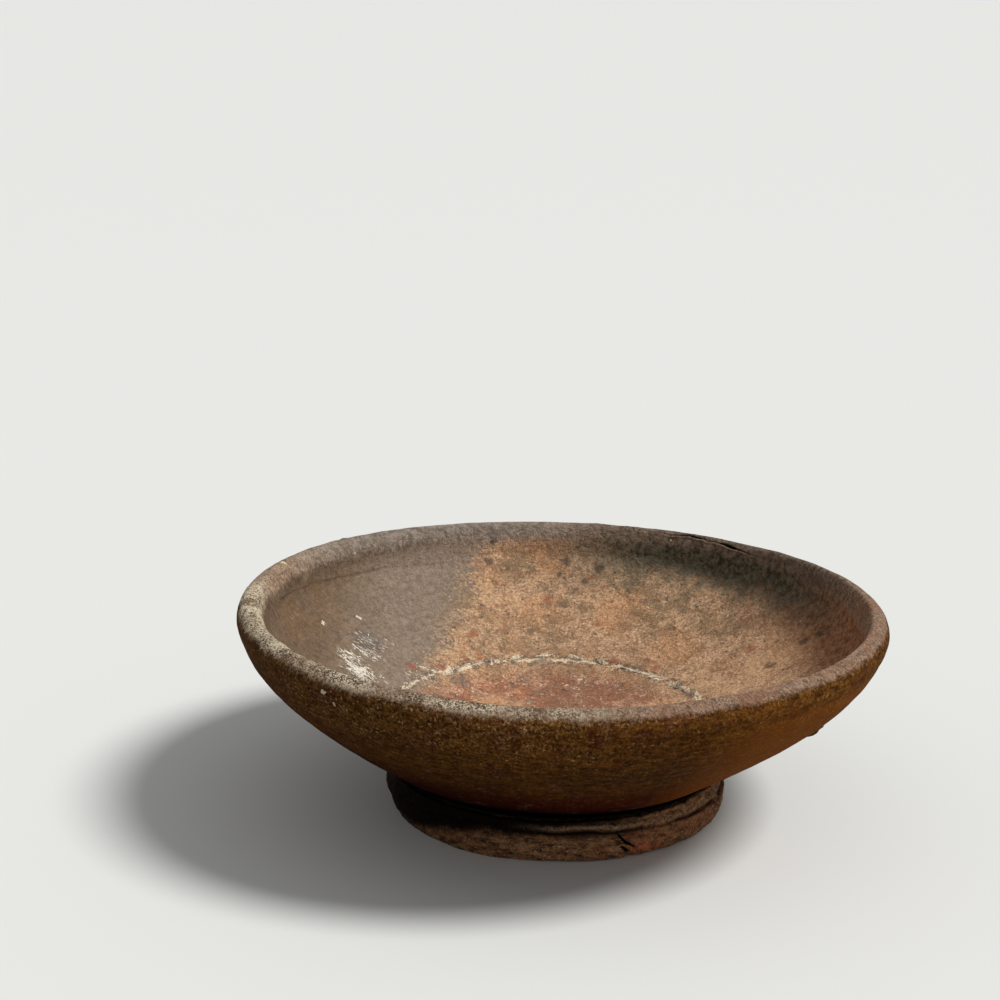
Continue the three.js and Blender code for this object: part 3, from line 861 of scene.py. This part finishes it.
def foot_depth(p, n):
    angle = angle_of(p)
    outer = smooth(*FOOT_SIDE, across(p))
    fuller = arc(angle, -146, 22, 34) * smooth(9.5, 4.5, p.z)
    band = BAND_HEIGHT + BAND_WANDER * math.cos(math.radians(2 * (angle + 90))) + 0.4 * uneven(p, 8, 7)

    # lumps, the fuller band, the worn neck above it, and hollows torn along the turning of the wheel
    out = 0.2 * uneven(p, 12, 1) + 0.18 * grainy(p, 4, 2) + 0.14 * grainy(p, 1.6, 3, 2) - 0.2 + SWELL * outer * fuller
    out -= 0.4 * outer * arc(angle, -150, 40, 40) * smooth(7, 10, p.z)
    hollow = smooth(0.12, 0.45, uneven(Vector((p.x, p.y, 3.5 * p.z)), 5, 4))
    out -= 0.4 * outer * hollow * smooth(1, 3, p.z) * (1 - fuller)

    # the tears, and the groove on the band with the lip over it
    torn = max(tear(p, angle, *ends) for ends in FOOT_TEARS) if apart(angle, TEARS_MIDDLE) < TEARS_HALF else 0.0
    line = band + 0.1 + 0.15 * uneven(p, 5, 10)
    seam = outer * arc(angle, -42, 40, 24) * smooth(-0.9, -0.1, uneven(p, 7, 8))
    groove, lip = seam * hump(p.z, line, 0.65), seam * hump(p.z, line + 0.8, 0.8)
    out -= TEAR_DEPTH * torn * outer + 0.6 * groove - 0.5 * lip - 0.15 * outer * hump(p.z, line - 1.1, 0.8)

    # the crumbled edge at the table
    crumbled = hump(angle, TEARS_MIDDLE, 9) * smooth(2.6, 0.6, p.z) * smooth(-0.25, 0.3, uneven(p, 1.8, 9))
    out -= outer * 0.8 * crumbled
    if n.z < -0.7:
        out += 0.2

    # where the neck is painted in shadow: from a little under the band's top, lower at the left, less on the lip
    shade = band - 5.0 * arc(angle, -165, 12, 46)
    neck = outer * smooth(shade - 3.8, shade + 1.4, p.z) * (1 - 0.6 * lip)
    return out, {"split": outer * max(torn, 0.55 * groove), "neck": neck, "lip": lip}


def turn_foot():
    form = clay_from("foot_ring", 2)
    refine(form, lambda p: p.z < 12 and across(p) > 39, 1)
    press(form, foot_depth, ["split", "neck", "lip"])
    for v in form.verts:
        v.co.z = max(v.co.z, 0.0)
    return form


# Grit and slip

GRAINS_IN_SCAR = 620
GRAINS_ON_CRUST = 30
# The flakes of white ash inside: the middle of each patch and its spread, both as an angle and a distance from the
# axis, the number of flakes and half the length of the longest.
FLAKE_PATCHES = [
    ((152, 56), (3.6, 2.8), 26, 0.9), ((169, 51), (3.6, 2.6), 34, 1.2), ((164, 55), (5.0, 2.0), 12, 0.8),
    ((174, 48), (4.0, 2.0), 12, 0.7), ((146, 44.5), (5, 1.2), 36, 0.9),
]
DROP_HEIGHT = 53


def landing(surface, x, y):
    """Where a grain dropped into the bowl lands, and the way the clay faces there."""
    return surface.ray_cast(Vector((x, y, DROP_HEIGHT)), DOWN)[:2]


def lump(form, radius, place, shape, knocks, chance):
    """A small ball, turned and flattened by shape, its points knocked in and out by that share of their distance."""
    made = bmesh.ops.create_icosphere(form, subdivisions=1, radius=radius, matrix=Matrix.Translation(place) @ shape)
    for v in made["verts"]:
        v.co += (v.co - place) * chance.uniform(-knocks, knocks)


def stones(form, places, smallest, largest, chance):
    """Small stones, each an uneven lump of a few faces, at the given places, sunk by about half."""
    for place in places:
        size = chance.uniform(smallest, largest)
        turned = chance.uniform(0, math.tau)
        axis = Vector((chance.uniform(-1, 1), 1, chance.uniform(-1, 1)))
        squash = Matrix.Diagonal((1, chance.uniform(0.5, 0.9), chance.uniform(0.4, 0.7), 1))
        lump(form, size, place, Matrix.Rotation(turned, 4, axis) @ squash, 0.25, chance)


def flakes(form, surface, middle, spread, number, longest, chance):
    """Thin flakes that lie on the inner wall round a place, drawn out down the slope."""
    for _ in range(number):
        angle, radius = middle[0] + chance.gauss(0, spread[0]), middle[1] + chance.gauss(0, spread[1])
        place, normal = landing(surface, *around(angle, radius, 0)[:2])
        along = DOWN + normal * normal.z
        along.rotate(Matrix.Rotation(math.radians(chance.gauss(18, 26)), 3, normal))
        along.normalize()
        turn = Matrix((along, normal.cross(along), normal)).transposed().to_4x4()
        size = longest * chance.uniform(0.3, 1.0)
        flat = Matrix.Diagonal((size, size * chance.uniform(0.14, 0.32), 0.09, 1))
        lump(form, 1, place, turn @ flat, 0.3, chance)


def scar_crusts(finish):
    narrowed, sunk = 0.58, 0.85
    chance = random.Random(4)
    for node in sorted(n for n in nodes if n.startswith("scar_crust_")):
        form = clay_from(node, 2)
        middle = sum(((v.co - SCAR_MIDDLE).xy.length for v in form.verts), 0.0) / len(form.verts)
        for v in form.verts:
            away = (v.co - SCAR_MIDDLE).xy
            v.co.xy -= away.normalized() * (away.length - middle) * narrowed
        press(form, lambda p, n: (0.3 * grainy(p, 0.8, 21) + 0.16 * uneven(p, 0.4, 22) - 0.18, {}))
        bmesh.ops.translate(form, verts=form.verts, vec=DOWN * sunk)
        tops = [v.co.copy() for v in form.verts if v.normal.z > 0.2]
        stones(form, chance.choices(tops, k=GRAINS_ON_CRUST), 0.1, 0.26, chance)
        fired(form, node + "_grit", finish, "scar_grit", node)


def white_grit(finish, surface):
    """The fine white grit between and round the crusts, and the flakes of ash on the left of the wall."""
    chance = random.Random(11)
    form = bmesh.new()
    places = []
    while len(places) < GRAINS_IN_SCAR:
        angle = chance.uniform(-180, 180)
        if uneven(Vector(around(angle, 5, 0)), 1.1, 30) < chance.uniform(-0.5, 0.3):
            continue
        radius = SCAR_RADIUS + chance.gauss(0, 0.45) + (chance.gauss(0, 1.2) if chance.random() < 0.2 else 0)
        x, y, _ = around(angle, radius, 0)
        places.append(landing(surface, SCAR_MIDDLE.x + x, SCAR_MIDDLE.y + y)[0])
    stones(form, places, 0.1, 0.24, chance)
    for patch in FLAKE_PATCHES:
        flakes(form, surface, *patch, chance)
    fired(form, "white_grit", finish, "scar_grit")


def grit_lump(finish):
    form = clay_from("fused_grit_lump", 2)
    middle = sum((v.co for v in form.verts), Vector()) / len(form.verts)
    inward = Vector((-middle.x, -middle.y, 0)).normalized()
    press(form, lambda p, n: (0.25 * grainy(p, 1.6, 23) + 0.1 * uneven(p, 0.7, 24) - 0.05, {}))
    bmesh.ops.translate(form, verts=form.verts, vec=(inward - DOWN) * 0.7)
    fired(form, "fused_grit", finish, "kiln_grit", "fused_grit_lump")


def slip_joint(finish):
    form = clay_from("luting_slip", 1)
    press(form, lambda p, n: (0.12 * grainy(p, 2, 25) - 0.02, {}))
    fired(form, "slip_joint", finish, "joint_slip", "luting_slip")


# Studio, with lengths in metres

FLOOR_RADIUS = 60
KEY_SIDE, KEY_HEIGHT = -9, 54  # where the key light stands round the bowl and over the table
KEY_STRENGTH, KEY_SPREAD = 2.75, 18
SKY_ON_BOWL, SKY_IN_VIEW = 0.36, 0.8  # the sky's strength on the bowl, and as the camera sees it
SENSOR, LENS = 36, 72  # in millimetres, as always for a camera
CAMERA_PLACE = Vector((0, -0.4852643, 0.2036542))
CAMERA_RIGHT = Vector((0.99927426, 0.03493449, 0.01518358))
CAMERA_UP = Vector((-0.02339307, 0.24823798, 0.96841658))
CAMERA_VIEW = Vector((-0.03006199, 0.96806895, -0.24887504))


def plain_floor():
    form = bmesh.new()
    bmesh.ops.create_circle(form, cap_ends=True, segments=64, radius=FLOOR_RADIUS)
    floor = in_scene("studio_floor", mesh_of(form, "studio_floor"))
    pale = bpy.data.materials.new("pale_floor")
    pale.use_nodes = True
    tree = pale.node_tree
    shader = tree.nodes["Principled BSDF"]
    shader.inputs["Roughness"].default_value = 0.8
    shader.inputs["Specular IOR Level"].default_value = 0.1
    seen = tree.nodes.new("ShaderNodeLightPath")
    colour = tree.nodes.new("ShaderNodeMix")
    colour.data_type = "RGBA"
    colour.inputs[MIX_UNDER].default_value = tint("b5aea2")
    colour.inputs[MIX_OVER].default_value = tint("e4e4e0")
    tree.links.new(seen.outputs["Is Camera Ray"], colour.inputs[MIX_SHARE])
    tree.links.new(colour.outputs[MIX_RESULT], shader.inputs["Base Color"])
    floor.data.materials.append(pale)


def studio_light():
    key = bpy.data.lights.new("window", "SUN")
    key.energy = KEY_STRENGTH
    key.angle = math.radians(KEY_SPREAD)
    height = math.radians(KEY_HEIGHT)
    toward = Vector(around(KEY_SIDE, math.cos(height), math.sin(height)))
    in_scene("window", key).rotation_euler = toward.to_track_quat("Z", "Y").to_euler()
    world = bpy.data.worlds.new("studio")
    bpy.context.scene.world = world
    world.use_nodes = True
    tree = world.node_tree
    background = tree.nodes["Background"]
    seen = tree.nodes.new("ShaderNodeLightPath")
    strength = tree.nodes.new("ShaderNodeMapRange")
    strength.inputs["To Min"].default_value = SKY_ON_BOWL
    strength.inputs["To Max"].default_value = SKY_IN_VIEW
    tree.links.new(seen.outputs["Is Camera Ray"], strength.inputs["Value"])
    tree.links.new(strength.outputs[0], background.inputs["Strength"])
    background.inputs["Color"].default_value = (0.97, 0.98, 1, 1)


def photo_camera():
    data = bpy.data.cameras.new("camera")
    data.sensor_width = SENSOR
    data.lens = LENS
    data.clip_start = 0.01
    camera = in_scene("camera", data)
    turn = Matrix((CAMERA_RIGHT, CAMERA_UP, -CAMERA_VIEW)).transposed().to_4x4()
    camera.matrix_world = Matrix.Translation(CAMERA_PLACE) @ turn
    bpy.context.scene.camera = camera


bowl = throw_bowl()
bowl_surface = BVHTree.FromBMesh(bowl)
fired(bowl, "bowl_clay_body", bowl_clay(), "body_clay", "bowl_body")
white_grit(white_flecks(), bowl_surface)
fired(turn_foot(), "foot_ring_clay", foot_clay(), "foot_clay", "foot_ring")
slip_joint(slip_clay())
scar_crusts(scar_grit())
grit_lump(kiln_grit())
plain_floor()
studio_light()
photo_camera()
bpy.context.scene.view_settings.view_transform = "Standard"
